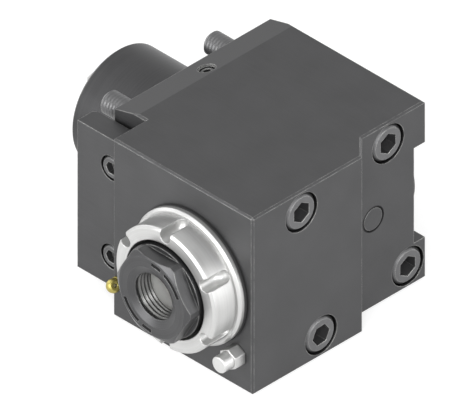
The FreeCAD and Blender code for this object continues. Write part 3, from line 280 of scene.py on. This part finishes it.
def bar_recess_shade(tree):
    """Painted shade: the floor and the walls of the bars that are engraved in the nut's face."""
    place = add(tree, "TexCoord").outputs["Object"]
    parts = add(tree, "SeparateXYZ", {0: place}).outputs
    depth = between(tree, parts["Y"], NUT_FACE + 0.3 * BAR_DEPTH, NUT_FACE + 1.3 * BAR_DEPTH)
    flat = add(tree, "CombineXYZ", {"X": parts["X"], "Z": parts["Z"]})
    radius = add(tree, "VectorMath", {0: flat.outputs[0], 1: SPINDLE}, operation="DISTANCE")
    width = between(tree, radius.outputs["Value"], BAR_INNER, BAR_OUTER)
    return add(tree, "Math", {0: depth, 1: width}, operation="MULTIPLY").outputs["Value"]


# The engraved bars on the nut's face get painted shade.
black_nut = machined("black_oxide_hardened_nut", "#4b4b4c", 0.36, turned_rings(SPINDLE, "Y"), 0.006 * MM,
                     metallic=0.8, worn_and_highlight_colour="#7e7e7d", paint=bar_recess_shade)
dress(black_nut, "collet_nut", "spindle_lock_nut", "rear_lock_nut")
black_lock_nut = machined("black_oxide_lock_nut", "#4b4b4c", 0.38, turned_rings(SHANK, "X"), 0.006 * MM,
                          metallic=0.8, worn_and_highlight_colour="#7e7e7d")
dress(black_lock_nut, "drive_lock_nut")

# %% [markdown]
# ## The screws
# Socket screws are forged, hardened and blackened, and a little paler than the block. Their threads are
# rolled. The solids carry the thread as a plain cylinder, so the ridges are drawn as relief: a triangle
# wave along the screw, 1.5 mm from ridge to ridge as on an M10 screw. A real ridge leans by less than
# three degrees, so rings square to the screw look the same and are simpler.

# %% Rolled threads on the screw ends
THREAD_PITCH = 1.5 * MM
THREAD_LENGTH = 11 * MM
THREAD_RELIEF = 0.16 * MM


def rolled_thread(tree):
    """The ridges of a screw along X, only on the ends that stand out of the mounting face."""
    place = add(tree, "TexCoord").outputs["Object"]
    parts = add(tree, "SeparateXYZ", {0: place}).outputs
    turns = add(tree, "Math", {0: parts["X"], 1: 1 / THREAD_PITCH}, operation="MULTIPLY").outputs["Value"]
    wave = add(tree, "Math", {0: turns, 1: 0.5}, operation="PINGPONG").outputs["Value"]
    window = between(tree, parts["X"], -THREAD_LENGTH, 0.0)
    return add(tree, "Math", {0: wave, 1: window}, operation="MULTIPLY").outputs["Value"]


# %% Black oxide screw steel
black_screw = machined("black_oxide_forged_screw", "#666667", 0.4, fine_grain, THREAD_RELIEF,
                       metallic=0.8, worn_and_highlight_colour="#a8a8a6", thread=rolled_thread)
dress(black_screw, "mounting_screws_front", "mounting_screws_rear")
small_screw = machined("black_oxide_forged_small_screw", "#5e5e5f", 0.4, fine_grain, 0.01 * MM,
                       metallic=0.8, worn_and_highlight_colour="#a8a8a6")
dress(small_screw, "stop_plate_screws", "sleeve_lock_screw", "channel_plug")

# %% [markdown]
# ## Bright turned steel
# The slotted cap and the stop pin are bare steel, turned last, so they are the brightest pieces. Clean
# steel reflects a bit more than half of the light, and the turned rings pull its highlights out across
# the face.

# %% Bare turned steel
bright_cap = machined("bright_turned_cap_steel", "#c2c2c1", 0.4, turned_rings(SPINDLE, "Y"), 0.008 * MM,
                      metallic=0.85, spread=0.08)
dress(bright_cap, "bearing_cap")
bright_pin = machined("bright_turned_pin_steel", "#cacac9", 0.38, turned_rings(PIN, "Y"), 0.008 * MM,
                      metallic=0.85, spread=0.08)
dress(bright_pin, "stop_pin")

# %% [markdown]
# ## Ground and hardened steel
# The spindle, the input shaft and what sits on them are hardened and then ground round. Grinding leaves
# finer rings than turning and a sharper shine.

# %% Cylindrically ground steel
ground_spindle = machined("ground_hardened_spindle_steel", "#e6e6e4", 0.5, turned_rings(SPINDLE, "Y"),
                          0.003 * MM, metallic=0.55, spread=0.06)
dress(ground_spindle, "tool_spindle", "front_outer_spacer", "front_inner_spacer", "spindle_gear_key")
ground_shaft = machined("ground_hardened_shaft_steel", "#c2c2c1", 0.34, turned_rings(SHANK, "X"),
                        0.001 * MM, metallic=0.85, spread=0.04)
dress(ground_shaft, "drive_shaft", "input_outer_spacer", "input_inner_spacer", "drive_gear_key")
ground_ring = machined("ground_thrust_ring_steel", "#6f6f6e", 0.34, turned_rings(SPINDLE, "Y"), 0.004 * MM,
                       spread=0.08)
dress(ground_ring, "nut_thrust_ring")
ground_shim = machined("ground_shim_steel", "#7c7c7b", 0.4, ground_lines, 0.004 * MM, spread=0.1)
dress(ground_shim, "stop_plate_shim")

# %% [markdown]
# ## Gears and bearings
# The bevel gears are case hardened and lapped in pairs, which leaves a dull, even grey. Bearing rings and
# balls are polished. Circlips are spring steel with a dark phosphate coat that holds oil.

# %% Steels inside the block
gear_steel = machined("lapped_gear_steel", "#b4b4b2", 0.38, fine_grain, 0.004 * MM, spread=0.08)
dress(gear_steel, "spindle_gear", "drive_gear")
bearing_steel = machined("polished_bearing_steel", "#d2d3d4", 0.16, fine_grain, 0.0005 * MM, spread=0.04)
dress(bearing_steel, "front_bearing_outer_rings", "front_bearing_inner_rings", "front_bearing_balls",
      "rear_bearing_outer_ring", "rear_bearing_inner_ring", "rear_bearing_balls",
      "input_bearing_outer_rings", "input_bearing_inner_rings", "input_bearing_balls")
spring_steel = machined("phosphated_spring_steel", "#3c3c3b", 0.6, fine_grain, 0.006 * MM, metallic=0.6)
dress(spring_steel, "spindle_gear_circlip", "drive_gear_circlip", "input_circlip")

# %% [markdown]
# ## Brass
# The ball of the coolant nozzle, its seat and the bearing cages are brass, turned and left bare. Brass
# with a little age is a yellow that leans to olive.

# %% Turned brass
nozzle_brass = machined("turned_nozzle_brass", "#aea25e", 0.42, turned_rings(NOZZLE, "Y"), 0.006 * MM,
                        spread=0.12)
dress(nozzle_brass, "coolant_ball", "nozzle_seat")
cage_brass = machined("turned_cage_brass", "#c9b160", 0.38, fine_grain, 0.006 * MM, spread=0.12)
dress(cage_brass, "front_bearing_cages", "rear_bearing_cage", "input_bearing_cages")

# %% [markdown]
# ## Nitrile rubber
# The gasket under the cap, the lip seals and the O-ring are moulded nitrile rubber. It is black and
# matt, not a metal, and its mould leaves a fine, soft grain.

# %% Moulded rubber
rubber = machined("moulded_nitrile_rubber", "#2b2b2c", 0.62, fine_grain, 0.02 * MM, metallic=0.0, spread=0.2)
dress(rubber, "cap_gasket", "spindle_seal", "drive_seal", "rear_cover_seal", "coolant_port_ring")

print("pieces without a finish:", sorted(set(nodes) - dressed))

# %% [markdown]
# ## Floor and background
# The holder stands on a plain white floor in front of a white background. What the camera and the
# reflections see is white by itself, so the lamps don't have to be bright, and the floor still takes the
# holder's soft shadow.

# %% A white floor
FLOOR_SIZE = 3.0
FLOOR_GLOW = 0.66


def seen_directly(tree):
    """1 for rays that show the background: straight, by reflection or through glass."""
    path = add(tree, "LightPath").outputs
    first = add(tree, "Math", {0: path["Is Camera Ray"], 1: path["Is Glossy Ray"]}, operation="MAXIMUM")
    return add(tree, "Math", {0: first.outputs[0], 1: path["Is Transmission Ray"]},
               operation="MAXIMUM").outputs[0]


lowest = cad_box[0][2]
floor_mesh = bpy.data.meshes.new("floor")
half = FLOOR_SIZE / 2
floor_mesh.from_pydata([(-half, -half, lowest), (half, -half, lowest), (half, half, lowest),
                        (-half, half, lowest)], [], [(0, 1, 2, 3)])
floor = bpy.data.objects.new("floor", floor_mesh)
bpy.context.scene.collection.objects.link(floor)

floor_paint = bpy.data.materials.new("white_floor_paint")
floor_paint.use_nodes = True
tree = floor_paint.node_tree
tree.nodes.clear()
paint = add(tree, "BsdfDiffuse", {"Color": linear("#bcbcbc")})
glow = add(tree, "Emission", {"Color": linear("#ffffff"), "Strength": FLOOR_GLOW})
both = add(tree, "AddShader", {0: paint.outputs[0], 1: glow.outputs[0]})
shown = add(tree, "MixShader", {0: seen_directly(tree), 1: paint.outputs[0], 2: both.outputs[0]})
add(tree, "OutputMaterial", {"Surface": shown.outputs[0]})
floor_mesh.materials.append(floor_paint)
print("floor at", round(lowest / MM, 1), "mm")

# %% A white world that lights softly
SOFT_LIGHT = 0.42
world = bpy.data.worlds.new("studio")
bpy.context.scene.world = world
world.use_nodes = True
tree = world.node_tree
tree.nodes.clear()
soft = add(tree, "Background", {"Color": linear("#ffffff"), "Strength": SOFT_LIGHT})
white = add(tree, "Background", {"Color": linear("#ffffff"), "Strength": 1.0})
sky = add(tree, "MixShader", {0: seen_directly(tree), 1: soft.outputs[0], 2: white.outputs[0]})
add(tree, "OutputWorld", {"Surface": sky.outputs[0]})
print("the world looks white and lights with a strength of", SOFT_LIGHT)

# %% [markdown]
# ## Light
# In the photograph the side with the screw heads is the palest of the three, and the nose side and the top
# are about as dark as each other. So the two main lamps stand low, one on each side of the camera, and the
# world lights the top. A smaller lamp near the camera shines into the spindle's bore, and two weak ones
# light the far sides.

# %% Lamps
MIDDLE = Vector(((cad_box[0][0] + cad_box[1][0]) / 2, (cad_box[0][1] + cad_box[1][1]) / 2, 0.0))


def lamp(name, direction, distance, size, power):
    """A square soft lamp that looks at the middle of the holder."""
    light = bpy.data.lights.new(name, "AREA")
    light.energy, light.size = power, size
    item = bpy.data.objects.new(name, light)
    towards = Vector(direction).normalized()
    item.location = MIDDLE + towards * distance
    item.rotation_euler = towards.to_track_quat("Z", "Y").to_euler()
    bpy.context.scene.collection.objects.link(item)
    print(name, power, "W at", [round(part, 2) for part in item.location])


lamp("nose_side_lamp", (-0.2, -1.0, 0.3), 0.75, 0.5, 4.0)
lamp("screw_side_lamp", (1.0, 0.1, 0.2), 0.75, 0.5, 3.0)
lamp("bore_lamp", (1.0, -1.1, 0.8), 0.75, 0.3, 2.6)
lamp("rear_lamp", (0.1, 1.0, 0.3), 0.8, 0.5, 1.6)
lamp("shank_lamp", (-1.0, -0.15, 0.45), 0.8, 0.5, 1.6)

# %% [markdown]
# ## Camera
# The photograph is a true isometric view: all three axes are drawn at the same scale and parallel edges
# stay parallel. So the camera is orthographic and looks down the diagonal of a cube.

# %% An isometric camera
VIEW_WIDTH = 179.5 * MM
AIM = Vector((85.43 * MM, -61.29 * MM, 44.77 * MM))
CAMERA_DISTANCE = 0.6
towards_camera = Vector((1.0, -1.0, 1.0)).normalized()
lens = bpy.data.cameras.new("camera")
lens.type = "ORTHO"
lens.ortho_scale = VIEW_WIDTH
lens.clip_start, lens.clip_end = 0.01, 10.0
camera = bpy.data.objects.new("camera", lens)
camera.location = AIM + towards_camera * CAMERA_DISTANCE
camera.rotation_euler = towards_camera.to_track_quat("Z", "Y").to_euler()
bpy.context.scene.collection.objects.link(camera)
bpy.context.scene.camera = camera
bpy.context.scene.view_settings.view_transform = "Standard"
print("camera elevation", round(math.degrees(math.asin(towards_camera.z)), 2), "degrees")
